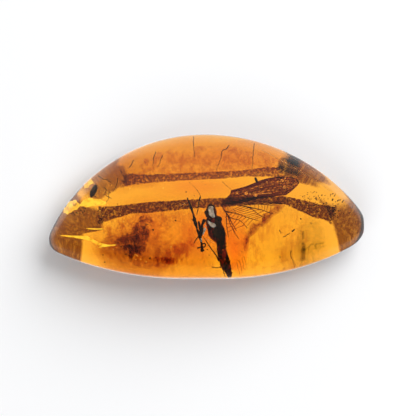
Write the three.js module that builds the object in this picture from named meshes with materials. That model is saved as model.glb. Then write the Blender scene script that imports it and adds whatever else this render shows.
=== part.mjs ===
// A polished, half-moon piece of amber. Millimetres, +Z up, lying on its flat back.
//
// The stone is what is left inside an upright edge, a domed front and a flat back that has a
// shallow channel along it and a slope at each tip. Neighbouring faces meet in a rounded,
// polished edge. The mesh is a row of closed sections from tip to tip. The points of a section lie
// where rays from a line across its middle leave the stone.
import * as THREE from "three";

// Overall size
const length = 45; // along X
const width = 20.7; // along Y
const thickness = 11; // along Z

// The edge seen from the front: two sides, each with its farthest y and the arcs that it curves
// away in to the left and to the right, from the x where each arc starts
const archedSide = { y: 10.42, left: { x: -0.3, radius: 24.3 }, right: { x: -0.3, radius: 28 } };
const shallowSide = { y: -10.28, left: { x: -3.3, radius: 45.6 }, right: { x: 2.4, radius: 38.3 } };
const tips = { left: { y: -4.4, rounding: 2.1 }, right: { y: -3.1, rounding: 4.1 } };
const widestHeight = 4.6;
const edgeDraft = 0.12; // how much the edge leans in, per millimetre from its widest height

// The front: a dome, flatter along the stone than across it
const domeCentre = { x: -0.6, y: -1.2 };
const domeRadius = { along: 52, across: 17 };

// The channel along the back. Each of its edges is an arched line: its y at x, and how far it has
// bent away 20 mm from there
const channelDepth = 0.8;
const channelEdges = {
  nearLow: { x: 1, y: -0.35, bend: -3.6 },
  nearHigh: { x: 0, y: 0.75, bend: -1.6 },
  farHigh: { x: 1.5, y: 3.1, bend: -2.9 },
  farLow: { x: 0, y: 3.8, bend: 3 },
};
const channelTaper = 3; // the larger, the nearer to the tips the channel gets shallower

// The slope at each tip of the back: where it starts, and its rise per millimetre
const leftSlope = { start: -17.2, rise: 0.22 };
const rightSlope = { start: 17.4, rise: 0.25 };

// How wide the rounded edges are
const edgeRounding = 1.6; // round the stone's edge
const domeRounding = 2.6; // between the edge and the domed front
const backRounding = 0.25; // between the faces of the back

// The mesh
const sections = 78;
const edgeInset = 2.2; // from the stone's sides to where its back and front are taken to start
const stepsAcrossBack = [4, 2, 4, 2, 4]; // flat, wall, channel, wall, flat
const stepsRoundEdge = 7;
const stepsAcrossFront = 16;

// The larger of two distances, with the corner between them rounded off.
function roundedMax(a, b, rounding) {
  const overlap = Math.max(rounding - Math.abs(a - b), 0) / rounding;
  return Math.max(a, b) + (overlap * overlap * rounding) / 4;
}

function roundedMin(a, b, rounding) {
  return -roundedMax(-a, -b, rounding);
}

// How far along a line a function turns from negative to positive, by halving the stretch.
function turningPoint(distanceAt) {
  let inside = 0;
  let outside = length;
  for (let step = 0; step < 40; step += 1) {
    const middle = (inside + outside) / 2;
    if (distanceAt(middle) < 0) {
      inside = middle;
    } else {
      outside = middle;
    }
  }
  return inside;
}

function sideDistance(x, y, { y: farthest, left, right }) {
  const { radius } = x < (left.x + right.x) / 2 ? left : right;
  const centreX = THREE.MathUtils.clamp(x, left.x, right.x);
  const centreY = farthest - Math.sign(farthest) * radius;
  return Math.hypot(x - centreX, y - centreY) - radius;
}

function outlineDistance(x, y) {
  const { rounding } = x < 0 ? tips.left : tips.right;
  return roundedMax(sideDistance(x, y, archedSide), sideDistance(x, y, shallowSide), rounding);
}

function frontHeight(x, y) {
  const dx = x - domeCentre.x;
  const dy = y - domeCentre.y;
  return thickness - (dx * dx) / (2 * domeRadius.along) - (dy * dy) / (2 * domeRadius.across);
}

function backHeight(x, channelRise) {
  const leftTip = (leftSlope.start - x) * leftSlope.rise;
  const rightTip = (x - rightSlope.start) * rightSlope.rise;
  return [channelRise, leftTip, rightTip].reduce((a, b) => roundedMax(a, b, backRounding), 0);
}

// Negative inside the stone, positive outside.
function stoneDistance(x, y, z, channelRise = 0) {
  const edge = outlineDistance(x, y) + edgeDraft * Math.abs(z - widestHeight);
  const edgeAndBack = roundedMax(edge, backHeight(x, channelRise) - z, edgeRounding);
  return roundedMax(edgeAndBack, z - frontHeight(x, y), domeRounding);
}

const tipX = {
  left: -turningPoint((reach) => stoneDistance(-reach, tips.left.y, widestHeight)),
  right: turningPoint((reach) => stoneDistance(reach, tips.right.y, widestHeight)),
};

// The two sides of the back at one x, and the channel there, kept clear of them.
function stationAt(x) {
  const tip = x < 0 ? "left" : "right";
  const share = x / tipX[tip];
  const startY = tips[tip].y * share;
  const low = startY - turningPoint((reach) => stoneDistance(x, startY - reach, widestHeight));
  const high = startY + turningPoint((reach) => stoneDistance(x, startY + reach, widestHeight));
  const inset = Math.min(edgeInset, (high - low) * 0.15);
  const station = { low: low + inset, high: high - inset };
  const gap = (station.high - station.low) * 0.08;
  Object.entries(channelEdges).forEach(([name, { x: middle, y, bend }], i) => {
    const place = y + bend * ((x - middle) / 20) ** 2;
    const lowest = station.low + gap * (i + 1);
    const highest = station.high - gap * (4 - i);
    station[name] = THREE.MathUtils.clamp(place, lowest, highest);
  });
  return { ...station, depth: channelDepth * (1 - share ** channelTaper) };
}

function channelRise(y, { nearLow, nearHigh, farHigh, farLow, depth }) {
  const nearWall = (depth * (y - nearLow)) / (nearHigh - nearLow);
  const farWall = (depth * (farLow - y)) / (farLow - farHigh);
  return roundedMin(roundedMin(nearWall, farWall, backRounding), depth, backRounding);
}

// From the first to the last of some values, in the given number of steps between each two.
function stepsBetween(values, counts) {
  return counts.flatMap((count, i) =>
    Array.from({ length: count }, (_, step) =>
      THREE.MathUtils.lerp(values[i], values[i + 1], step / count),
    ),
  );
}

// The rays of a section, [start y, direction y, direction z]: down across the back, round the
// arched side, up across the front and round the shallow side.
function sectionRays({ low, high, nearLow, nearHigh, farHigh, farLow }) {
  const turn = (startY, from) =>
    stepsBetween([from, from + Math.PI], [stepsRoundEdge]).map((angle) => [
      startY,
      Math.cos(angle),
      Math.sin(angle),
    ]);
  return [
    ...stepsBetween([low, nearLow, nearHigh, farHigh, farLow, high], stepsAcrossBack).map((y) => [y, 0, -1]),
    ...turn(high, -Math.PI / 2),
    ...stepsBetween([high, low], [stepsAcrossFront]).map((y) => [y, 0, 1]),
    ...turn(low, Math.PI / 2),
  ];
}

function sectionAt(x) {
  const station = stationAt(x);
  return sectionRays(station).map(([startY, alongY, alongZ]) => {
    const place = (reach) => [startY + alongY * reach, widestHeight + alongZ * reach];
    const distance = (y, z) => stoneDistance(x, y, z, channelRise(y, station));
    return [x, ...place(turningPoint((reach) => distance(...place(reach))))];
  });
}

// Sections from tip to tip joined into one skin, with a point at each tip.
function stoneGeometry() {
  const rows = Array.from({ length: sections }, (_, i) => {
    const share = (1 - Math.cos((Math.PI * (i + 1)) / (sections + 1))) / 2;
    return sectionAt(THREE.MathUtils.lerp(tipX.left, tipX.right, share));
  });
  const across = rows[0].length;
  const places = [
    ...rows.flat(),
    [tipX.left, tips.left.y, widestHeight],
    [tipX.right, tips.right.y, widestHeight],
  ];
  const leftTip = places.length - 2;
  const rightTip = places.length - 1;
  const faces = [];
  for (let k = 0; k < across; k += 1) {
    const next = (k + 1) % across;
    for (let i = 0; i < sections - 1; i += 1) {
      const here = i * across;
      const beyond = here + across;
      faces.push(here + k, here + next, beyond + next, here + k, beyond + next, beyond + k);
    }
    const end = (sections - 1) * across;
    faces.push(leftTip, next, k, rightTip, end + k, end + next);
  }
  const geometry = new THREE.BufferGeometry();
  geometry.setAttribute("position", new THREE.Float32BufferAttribute(places.flat(), 3));
  geometry.setIndex(faces);
  geometry.computeBoundingBox();
  const centre = geometry.boundingBox.getCenter(new THREE.Vector3());
  const size = geometry.boundingBox.getSize(new THREE.Vector3());
  geometry.translate(-centre.x, -centre.y, -geometry.boundingBox.min.z);
  geometry.scale(length / size.x, width / size.y, thickness / size.z);
  geometry.computeVertexNormals();
  return geometry;
}

function amber() {
  const material = new THREE.MeshStandardMaterial({
    color: 0xe8932a,
    roughness: 0.08,
    metalness: 0,
    transparent: true,
    opacity: 0.6,
  });
  const mesh = new THREE.Mesh(stoneGeometry(), material);
  mesh.name = "amber";
  return mesh;
}

const insectInAmber = new THREE.Group();
insectInAmber.add(amber());

export default insectInAmber;
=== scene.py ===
import math
import random

import bpy
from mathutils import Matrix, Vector, noise
from mathutils.bvhtree import BVHTree


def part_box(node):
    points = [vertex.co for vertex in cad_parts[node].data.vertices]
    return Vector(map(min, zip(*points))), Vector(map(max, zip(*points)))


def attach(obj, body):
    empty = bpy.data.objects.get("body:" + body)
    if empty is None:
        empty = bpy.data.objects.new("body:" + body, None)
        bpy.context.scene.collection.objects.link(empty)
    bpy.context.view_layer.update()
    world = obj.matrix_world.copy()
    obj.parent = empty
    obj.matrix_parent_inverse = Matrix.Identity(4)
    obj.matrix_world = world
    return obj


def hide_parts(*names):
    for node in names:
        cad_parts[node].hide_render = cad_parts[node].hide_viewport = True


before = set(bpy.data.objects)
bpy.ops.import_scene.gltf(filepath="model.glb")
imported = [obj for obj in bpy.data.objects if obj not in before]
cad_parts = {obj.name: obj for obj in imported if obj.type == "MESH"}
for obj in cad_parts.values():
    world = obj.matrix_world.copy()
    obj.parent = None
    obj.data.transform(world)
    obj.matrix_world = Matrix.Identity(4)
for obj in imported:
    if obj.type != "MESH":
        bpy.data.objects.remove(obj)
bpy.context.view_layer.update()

mm = 0.001
stoneLow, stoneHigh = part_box("amber")
stoneMiddle = (stoneLow + stoneHigh) / 2
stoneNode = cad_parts["amber"]
scene = bpy.context.scene
down = Vector((0, 0, -1))
amberIor = 1.54
filmThickness = 0.03  # mm, of the thin sheets: stained films, and sheets of painted shade


# a node's output that can be used in plain Python sums
class Value:
    def __init__(self, nodes, socket):
        self.nodes = nodes
        self.socket = socket

    def sum(self, operation, first, second=0.0):
        made = self.nodes.node("ShaderNodeMath", {"operation": operation}, {0: first, 1: second})
        return Value(self.nodes, made.outputs[0])

    def __add__(self, other):
        return self.sum("ADD", self, other)

    def __radd__(self, other):
        return self.sum("ADD", other, self)

    def __sub__(self, other):
        return self.sum("SUBTRACT", self, other)

    def __rsub__(self, other):
        return self.sum("SUBTRACT", other, self)

    def __mul__(self, other):
        return self.sum("MULTIPLY", self, other)

    def __rmul__(self, other):
        return self.sum("MULTIPLY", other, self)

    def __truediv__(self, other):
        return self.sum("DIVIDE", self, other)

    def __pow__(self, other):
        return self.sum("POWER", self, other)

    def atLeast(self, other):
        return self.sum("MAXIMUM", self, other)

    def atMost(self, other):
        return self.sum("MINIMUM", self, other)

    def above(self, limit):
        return self.sum("GREATER_THAN", self, limit)

    def size(self):
        return self.sum("ABSOLUTE", self)

    def sine(self):
        return self.sum("SINE", self)

    def ramp(self, low, high):
        # 0 at low, 1 at high, smooth between them
        made = self.nodes.node(
            "ShaderNodeMapRange",
            {"interpolation_type": "SMOOTHSTEP"},
            {"Value": self, "From Min": low, "From Max": high},
        )
        return Value(self.nodes, made.outputs[0])


class Nodes:
    def __init__(self, tree):
        self.tree = tree

    def node(self, kind, settings=None, inputs=None):
        made = self.tree.nodes.new(kind)
        for key, value in (settings or {}).items():
            setattr(made, key, value)
        for key, value in (inputs or {}).items():
            self.feed(made.inputs[key], value)
        return made

    def feed(self, socket, value):
        if isinstance(value, Value):
            value = value.socket
        if isinstance(value, bpy.types.NodeSocket):
            self.tree.links.new(value, socket)
        else:
            socket.default_value = value


class Finish(Nodes):
    def __init__(self, name):
        self.material = bpy.data.materials.new(name)
        self.material.use_nodes = True
        super().__init__(self.material.node_tree)
        self.shader = self.tree.nodes["Principled BSDF"]
        self.output = self.tree.nodes["Material Output"]
        self.place = None

    def set(self, **inputs):
        # socket names are written without spaces: BaseColor, TransmissionWeight
        named = {socket.name.replace(" ", ""): socket for socket in self.shader.inputs}
        for key, value in inputs.items():
            self.feed(named[key], value)

    def coordinates(self):
        if self.place is None:
            self.place = self.node("ShaderNodeTexCoord").outputs["Object"]
        return self.place

    def axis(self, name):
        # object coordinate in millimetres
        made = self.node("ShaderNodeSeparateXYZ", inputs={0: self.coordinates()})
        return Value(self, made.outputs[name]) * 1000

    def acrossSheet(self):
        # how far along and across its sheet a point lies, both from 0 to 1
        uv = self.node("ShaderNodeUVMap", {"uv_map": "UVMap"})
        made = self.node("ShaderNodeSeparateXYZ", inputs={0: uv.outputs[0]})
        return Value(self, made.outputs["X"]), Value(self, made.outputs["Y"])

    def stretched(self, scale, turn=0.0):
        rotation = (0, 0, math.radians(turn))
        made = self.node(
            "ShaderNodeMapping",
            inputs={"Vector": self.coordinates(), "Scale": scale, "Rotation": rotation},
        )
        return made.outputs[0]

    def noise(self, perMm, detail=4.0, roughness=0.6, along=None):
        made = self.node(
            "ShaderNodeTexNoise",
            inputs={
                "Vector": along or self.coordinates(),
                "Scale": perMm / mm,
                "Detail": detail,
                "Roughness": roughness,
            },
        )
        return Value(self, made.outputs["Fac"])

    def cells(self, perMm, along=None):
        made = self.node(
            "ShaderNodeTexVoronoi",
            {"feature": "DISTANCE_TO_EDGE"},
            {"Vector": along or self.coordinates(), "Scale": perMm / mm},
        )
        return Value(self, made.outputs["Distance"])

    def mix(self, first, second, factor):
        made = self.node(
            "ShaderNodeMix", {"data_type": "RGBA"}, {"Factor": factor, 6: first, 7: second}
        )
        return made.outputs[2]

    def film(self, cover, tint, solid):
        # A stained film: clear where cover is 0. Where it is 1 it tints the light that passes, and
        # the solid share of it is the matt surface.
        clear = self.node("ShaderNodeBsdfTransparent")
        stained = self.node("ShaderNodeBsdfTransparent", inputs={"Color": tint})
        body = self.node("ShaderNodeMixShader", inputs={"Fac": solid})
        self.tree.links.new(stained.outputs[0], body.inputs[1])
        self.tree.links.new(self.shader.outputs[0], body.inputs[2])
        shown = self.node("ShaderNodeMixShader", inputs={"Fac": cover})
        self.tree.links.new(clear.outputs[0], shown.inputs[1])
        self.tree.links.new(body.outputs[0], shown.inputs[2])
        self.tree.links.new(shown.outputs[0], self.output.inputs["Surface"])

    def bumps(self, height, distance, strength=1.0):
        made = self.node(
            "ShaderNodeBump", inputs={"Height": height, "Distance": distance * mm, "Strength": strength}
        )
        self.set(Normal=made.outputs[0])


def paint(red, green, blue):
    return (red, green, blue, 1.0)


# modelling helpers
def clearSelection():
    if bpy.context.object and bpy.context.object.mode != "OBJECT":
        bpy.ops.object.mode_set(mode="OBJECT")
    bpy.ops.object.select_all(action="DESELECT")


def pick(piece):
    clearSelection()
    piece.select_set(True)
    bpy.context.view_layer.objects.active = piece


def applyModifiers(piece):
    pick(piece)
    for modifier in list(piece.modifiers):
        bpy.ops.object.modifier_apply(modifier=modifier.name)


def settle(piece, name, finish=None, smooth=True):
    # the place goes into the mesh, so that the object sits at the origin
    pick(piece)
    piece.name = name
    piece.data.name = name
    bpy.ops.object.transform_apply(location=True, rotation=True, scale=True)
    if smooth:
        bpy.ops.object.shade_smooth()
    if finish:
        piece.data.materials.clear()
        piece.data.materials.append(finish.material)
    return piece


def duplicate(piece):
    # a copy with its own mesh, and without the custom properties
    twin = piece.copy()
    twin.data = piece.data.copy()
    for key in list(twin.keys()):
        del twin[key]
    scene.collection.objects.link(twin)
    return twin


def joinPieces(parts, name):
    pick(parts[0])
    for part in parts:
        part.select_set(True)
    if len(parts) > 1:
        bpy.ops.object.join()
    parts[0].name = name
    return parts[0]


def sealed(piece):
    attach(piece, "root")
    return piece


def thicken(piece, thickness, offset=0):
    wall = piece.modifiers.new("wall", "SOLIDIFY")
    wall.thickness = thickness * mm
    wall.offset = offset
    applyModifiers(piece)


def roughen(piece, size, strength, seed=0.0):
    # uneven surface from a cloud pattern; a shifted start makes each piece differ
    clouds = bpy.data.textures.new(piece.name + "Clouds", "CLOUDS")
    clouds.noise_scale = size * mm
    clouds.noise_depth = 2
    guide = bpy.data.objects.new(piece.name + "Guide", None)
    scene.collection.objects.link(guide)
    guide.location = (seed * mm, -seed * mm, seed * 0.5 * mm)
    modifier = piece.modifiers.new("uneven", "DISPLACE")
    modifier.texture = clouds
    modifier.texture_coords = "OBJECT"
    modifier.texture_coords_object = guide
    modifier.strength = strength * mm
    modifier.mid_level = 0.5
    applyModifiers(piece)
    bpy.data.objects.remove(guide)


def pulled(places, girths, flat=1.0, sides=10):
    # A closed rod: a disc is pulled from place to place and resized to each girth on the way. Flat
    # is its height beside its width.
    clearSelection()
    bpy.ops.mesh.primitive_circle_add(
        vertices=sides,
        radius=girths[0] * mm,
        fill_type="NGON",
        location=places[0],
        rotation=(places[-1] - places[0]).to_track_quat("Z", "Y").to_euler(),
    )
    rod = bpy.context.object
    bpy.ops.object.mode_set(mode="EDIT")
    bpy.ops.transform.resize(value=(1, 1, flat), center_override=places[0])
    for i in range(1, len(places)):
        bpy.ops.mesh.extrude_region_move(
            TRANSFORM_OT_translate={"value": places[i] - places[i - 1], "orient_type": "GLOBAL"}
        )
        ratio = girths[i] / girths[i - 1]
        bpy.ops.transform.resize(value=(ratio, ratio, ratio), center_override=places[i])
    bpy.ops.mesh.select_all(action="SELECT")
    bpy.ops.mesh.normals_make_consistent(inside=False)
    bpy.ops.object.mode_set(mode="OBJECT")
    return rod


def spindle(start, end, girths, flat=1.0, sides=10):
    # a straight rod in equal steps
    steps = len(girths) - 1
    return pulled([start.lerp(end, i / steps) for i in range(steps + 1)], girths, flat, sides)


joints = {
    "overlap": 0.06,  # how far two rods run into each other, as a share of their length
    "spare": 1.35,  # softening draws a rod in, so it starts that much thicker
}


def chain(places, girths):
    # jointed rods from place to place, each with a girth at its start and at its end
    rods = []
    for start, end, (first, last) in zip(places, places[1:], girths):
        profile = [first * 0.7, first, first, (first + last) / 2, last, last, last * 0.7]
        reach = (end - start) * joints["overlap"]
        girth = [k * joints["spare"] for k in profile]
        rods.append(spindle(start - reach, end + reach, girth, sides=8))
    return rods


def soften(piece, levels=1):
    modifier = piece.modifiers.new("soft", "SUBSURF")
    modifier.levels = levels
    modifier.render_levels = levels
    applyModifiers(piece)


def strand(name, routes, girth, taper=0.45):
    # Thin threads: each route is a list of places, its girth tapering to the end. Made as curves
    # and turned into a closed mesh.
    curve = bpy.data.curves.new(name, "CURVE")
    curve.dimensions = "3D"
    curve.bevel_depth = mm
    curve.bevel_resolution = 1
    curve.resolution_u = 5
    curve.use_fill_caps = True
    for route in routes:
        line = curve.splines.new("NURBS")
        line.points.add(len(route) - 1)
        line.order_u = min(4, len(route))
        line.use_endpoint_u = True
        for i, (point, place) in enumerate(zip(line.points, route)):
            point.co = (*place, 1)
            point.radius = girth * (1 - taper * i / (len(route) - 1))
    thread = bpy.data.objects.new(name, curve)
    scene.collection.objects.link(thread)
    pick(thread)
    bpy.ops.object.convert(target="MESH")
    thread = bpy.context.object
    thread.name = name
    return thread


def sheet(name, columns, rows, placeAt, thickness):
    # a grid whose corners are moved to placeAt(along, across), both from 0 to 1
    clearSelection()
    bpy.ops.mesh.primitive_grid_add(x_subdivisions=columns, y_subdivisions=rows, size=2)
    piece = bpy.context.object
    for corner in piece.data.vertices:
        corner.co = placeAt((corner.co.x + 1) / 2, (corner.co.y + 1) / 2)
    piece.name = name
    if thickness:
        thicken(piece, thickness)
    return piece


def along(table, share):
    # straight value at a share of the way through evenly spaced entries
    spot = min(max(share, 0.0), 1.0) * (len(table) - 1)
    i = min(int(spot), len(table) - 2)
    return table[i] + (table[i + 1] - table[i]) * (spot - i)


def pointAlong(line, share):
    return [along([point[k] for point in line], share) for k in (0, 1)]


# camera, straight above the domed front
camera = {
    "lens": 400,
    "fieldAcross": 59.43,  # mm in the picture at the stone's widest height
    "widestHeight": 4.6,
    "aside": (0.21, -0.21),  # mm the camera stands off the stone's middle
}


def makeCamera():
    data = bpy.data.cameras.new("camera")
    data.lens = camera["lens"]
    data.clip_start = 0.01
    distance = camera["fieldAcross"] * mm * camera["lens"] / data.sensor_width
    eye = bpy.data.objects.new("camera", data)
    scene.collection.objects.link(eye)
    height = stoneLow.z + camera["widestHeight"] * mm + distance
    asideX, asideY = camera["aside"]
    eye.location = (stoneMiddle.x + asideX * mm, stoneMiddle.y + asideY * mm, height)
    scene.camera = eye


makeCamera()
print("camera ready")

# the stone
stone = {
    "subdivision": 2,
    "tint": paint(0.78, 0.45, 0.28),
    "absorption": (20, 62, 358),  # per metre, for red, green and blue
    "roughness": 0.0,
    "skin": 0.3,  # mm of clear amber left between the back and what is inside
}


def setAbsorption(finish, perMetre):
    density = max(perMetre) * 1.02
    colour = [1 - value / density for value in perMetre]
    volume = finish.node(
        "ShaderNodeVolumeAbsorption", inputs={"Color": (*colour, 1), "Density": density}
    )
    finish.tree.links.new(volume.outputs[0], finish.output.inputs["Volume"])


def amberFinish():
    finish = Finish("amberResin")
    finish.set(
        BaseColor=stone["tint"],
        Roughness=stone["roughness"],
        IOR=amberIor,
        TransmissionWeight=1.0,
    )
    setAbsorption(finish, stone["absorption"])
    return finish


def makeStone():
    piece = duplicate(stoneNode)
    piece.parent = None
    pick(piece)
    bpy.ops.object.mode_set(mode="EDIT")
    bpy.ops.mesh.select_all(action="SELECT")
    bpy.ops.mesh.remove_doubles(threshold=0.01 * mm)
    bpy.ops.mesh.tris_convert_to_quads(
        face_threshold=math.radians(60), shape_threshold=math.radians(60)
    )
    bpy.ops.object.mode_set(mode="OBJECT")
    soften(piece, stone["subdivision"])
    settle(piece, "amberStone", amberFinish())
    sealed(piece)
    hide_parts("amber")
    return piece


amberStone = makeStone()
print("stone ready:", len(amberStone.data.polygons), "faces")
stoneTree = BVHTree.FromPolygons(
    [corner.co for corner in amberStone.data.vertices],
    [face.vertices for face in amberStone.data.polygons],
)


def inAmber(x, y, depth):
    # Millimetres from the stone's middle, as seen from straight above, and the depth below the
    # front. Amber bends the line of sight, so the place is found along the bent line.
    place = None
    while place is None:
        start = Vector((stoneMiddle.x + x * mm, stoneMiddle.y + y * mm, stoneHigh.z + mm))
        place, normal, _, _ = stoneTree.ray_cast(start, down)
        x, y = x * 0.99, y * 0.99  # a place beside the stone is drawn in until it is over it
    ratio = 1 / amberIor
    facing = -normal.dot(down)
    bent = ratio * down + (ratio * facing - math.sqrt(1 - ratio**2 * (1 - facing**2))) * normal
    reach = depth * mm / -bent.z
    back = stoneTree.ray_cast(place + bent * 0.02 * mm, bent)[3] or reach
    return place + bent * min(reach, max(back - stone["skin"] * mm, back / 2))


def onBack(x, y, clearance):
    # the place on the stone's back that is seen at x, y, moved up by the clearance
    near = inAmber(x, y, 1)
    away = (near - inAmber(x, y, 0.2)).normalized()
    place = stoneTree.ray_cast(near, away)[0]
    return (place or near) - away * clearance * mm


# grainy sheets. On the back, two dark bands of painted shade stand in for the dark that the back's
# edges give by refraction; in old flow layers they are brown stained films
def patchBetween(name, lower, upper, placed, columns, rows, thickness=filmThickness):
    # a sheet ruled between two lines of the same number of points, seen from above
    def placeAt(share, across):
        ends = zip(pointAlong(lower, share), pointAlong(upper, share))
        return placed(*(a + (b - a) * across for a, b in ends))

    return sheet(name, columns, rows, placeAt, thickness)


plainStainAndShade = {
    "dark": paint(0.10, 0.04, 0.01),
    "light": paint(0.25, 0.10, 0.02),
    "solid": 0.06,
    "grain": 2.4,  # per mm
    "cloud": 0.3,
    "speckle": 0.34,
    "patchy": 0.5,
    "ragged": 0.25,
    "soft": 0.12,
    "softEnds": 0.05,
    "denserEnd": 0,
    "stretch": (1, 1, 1),
    "turn": 0,
}


def stainAndShadeFinish(name, look):
    finish = Finish(name)
    look = {**plainStainAndShade, **look}
    share, across = finish.acrossSheet()
    drawnOut = finish.stretched(look["stretch"], look["turn"])
    grain = finish.noise(look["grain"], detail=5, roughness=0.8, along=drawnOut)
    cloudy = finish.noise(look["cloud"], detail=3)
    rough = (grain + cloudy - 1) * look["ragged"]
    sides = (across.atMost(1 - across) + rough).ramp(0, look["soft"])
    ends = (share.atMost(1 - share) + rough * 0.4).ramp(0, look["softEnds"])
    body = look["cover"] + (grain.ramp(0.38, 0.62) - 0.5) * look["speckle"]
    body = body + (cloudy - 0.5) * look["patchy"]
    body = body + share.ramp(0.6, 0.9) * look["denserEnd"]
    finish.set(
        BaseColor=finish.mix(look["dark"], look["light"], grain.ramp(0.35, 0.65)),
        Roughness=1.0,
        SpecularIORLevel=0.0,
    )
    finish.film((sides * ends * body).atLeast(0).atMost(1), look["tint"], look["solid"])
    return finish


sandy = {
    "dark": paint(0.10, 0.05, 0.02),
    "light": paint(0.60, 0.42, 0.20),
    "tint": paint(0.54, 0.36, 0.24),
    "solid": 0.13,
    "grain": 3.2,
    "speckle": 1.35,
}
# the two dark bands on the back: painted shade, grainy sheets standing in for the dark the back's edges
# give by refraction
shadeBands = {
    "nearBand": {
        **sandy,
        "tint": paint(0.38, 0.23, 0.09),
        "light": paint(0.54, 0.36, 0.14),
        "cover": 1.0,
        "denserEnd": 0.08,
        "soft": 0.10,
        "softEnds": 0.025,
        "lower": [
            (-15.6, -2.6), (-13.6, -1.95), (-11, -1.1), (-8.4, -0.95), (-5, -0.65),
            (-2, -0.35), (1, -0.15), (4, 0.05), (7.5, 0.25), (11.2, 0.3),
            (13.5, -0.75), (15.8, -1.8), (17.1, -2.2), (18, -2.7),
        ],
        "upper": [
            (-15.6, 0.18), (-13.6, 0.07), (-11, 0.35), (-8, 0.68), (-5, 0.9),
            (-2, 1.1), (1, 1.25), (4, 1.35), (7.5, 1.5), (11.2, 1.5),
            (14, 1), (16.2, 0.4), (17.8, 0.2), (18.9, 0.1),
        ],
        "clearance": 0.12,
    },
    "farBand": {
        **sandy,
        "cover": 0.92,
        "soft": 0.14,
        "softEnds": 0.06,
        "lower": [
            (-12.4, 2.5), (-11, 2.9), (-8, 3.35), (-4, 3.65), (0, 3.85), (3, 4.05),
            (6.2, 4.25), (9, 4.2), (11.6, 3.7),
        ],
        "upper": [
            (-12.2, 4.9), (-11, 4.9), (-8, 4.65), (-4, 4.8), (0, 5), (3, 5.1),
            (6, 5.35), (9, 5.8), (11.6, 5.8),
        ],
        "clearance": 0.16,
    },
}


def makeShadeBands():
    for name, look in shadeBands.items():
        clearance = look["clearance"]
        piece = patchBetween(
            name,
            look["lower"],
            look["upper"],
            lambda x, y: onBack(x, y, clearance),
            columns=110,
            rows=14,
        )
        settle(piece, name + "ShadeBand", stainAndShadeFinish(name + "ShadeBand", look))
        sealed(piece)


# painted shade: a dark grainy sheet on the underside of both ends, standing in for the dark that the
# steep ends give by refraction; it also holds the outer ends of the far band
tipShade = {
    "insideSurface": 0.12,  # mm
    "innerEnd": 9.5,  # mm from the stone's middle
    "leftEdge": -16.9,
    "leftTop": -0.6,
    "leftTongue": {"low": -3.2, "high": -0.1, "reach": 2.8},  # where it runs out into the near band
    "rightEdge": 17.7,
    "rightTop": -0.15,
    "leftArm": {"start": (-10.4, 3.3), "slope": 0.41, "width": 0.5, "widening": 0.13, "dark": 0.72},
    "rightArm": {"start": (10.4, 4.3), "slope": -0.37, "width": 0.8, "widening": 0.02, "dark": 1.3},
    "armEnds": (-15.8, 17.6),
    "dark": paint(0.12, 0.06, 0.03),
    "light": paint(0.60, 0.42, 0.18),
    "tint": paint(0.53, 0.39, 0.34),
    "solid": 0.20,
}


def tipShadeFinish():
    finish = Finish("tipShade")
    x = finish.axis("X")
    y = finish.axis("Y")
    grain = finish.noise(3.2, detail=5, roughness=0.8)
    wander = (finish.noise(0.5, detail=4) - 0.5) * 1.6
    tongue = tipShade["leftTongue"]
    tongueY = y + wander * 0.3
    inTongue = tongueY.ramp(tongue["low"] - 0.4, tongue["low"] + 0.3)
    inTongue = inTongue * (1 - tongueY.ramp(tongue["high"] - 0.3, tongue["high"] + 0.4))
    leftX = x + wander * 0.4 - inTongue * tongue["reach"]
    left = 1 - leftX.ramp(tipShade["leftEdge"] - 0.3, tipShade["leftEdge"] + 0.3)
    leftTop = 1 - (y + wander).ramp(tipShade["leftTop"] - 0.4, tipShade["leftTop"] + 0.4)
    bulge = (y + 4) * (y + 4) * 0.12
    rightX = x + bulge + wander * 0.4
    right = rightX.ramp(tipShade["rightEdge"] - 0.25, tipShade["rightEdge"] + 0.25)
    rightLine = (x - 17) * 0.4 + y + wander * 0.5
    rightTop = 1 - rightLine.ramp(tipShade["rightTop"] - 0.4, tipShade["rightTop"] + 0.4)
    cover = (left * leftTop).atLeast(right * rightTop)
    for side, sign in (("leftArm", -1), ("rightArm", 1)):
        # the outer ends of the far band, also painted shade
        arm = tipShade[side]
        startX, startY = arm["start"]
        out = (x - startX) * sign
        line = startY + (x - startX) * arm["slope"]
        width = (arm["width"] + out * arm["widening"]).atLeast(0.2)
        across = (y + wander * 0.35 - line).size() / width
        end = abs(tipShade["armEnds"][sign > 0] - startX)
        reach = out.ramp(0, 0.6) * (1 - (out + wander * 0.5).ramp(end - 0.8, end))
        patches = arm["dark"] + wander * 0.6
        cover = cover.atLeast((1 - across.ramp(0.75, 1.15)) * reach * patches).atMost(1)
    finish.set(
        BaseColor=finish.mix(tipShade["dark"], tipShade["light"], grain.ramp(0.35, 0.65)),
        Roughness=1.0,
        SpecularIORLevel=0.0,
    )
    body = (0.86 + (grain.ramp(0.36, 0.64) - 0.5) * 0.6).atLeast(0).atMost(1)
    finish.film(cover * body, tipShade["tint"], tipShade["solid"])
    return finish


def makeTipShade():
    piece = duplicate(amberStone)
    pick(piece)
    bpy.ops.object.mode_set(mode="EDIT")
    bpy.ops.mesh.select_all(action="DESELECT")
    bpy.ops.object.mode_set(mode="OBJECT")
    for face in piece.data.polygons:
        outer = abs(face.center.x) > tipShade["innerEnd"] * mm
        face.select = not (outer and face.normal.z < -0.2)
    bpy.ops.object.mode_set(mode="EDIT")
    bpy.ops.mesh.delete(type="FACE")
    bpy.ops.mesh.select_all(action="SELECT")
    bpy.ops.transform.shrink_fatten(value=-tipShade["insideSurface"] * mm)
    bpy.ops.object.mode_set(mode="OBJECT")
    thicken(piece, filmThickness, offset=-1)
    settle(piece, "tipShade", tipShadeFinish())
    sealed(piece)


makeShadeBands()
makeTipShade()
print("stains on the back ready")

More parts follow.
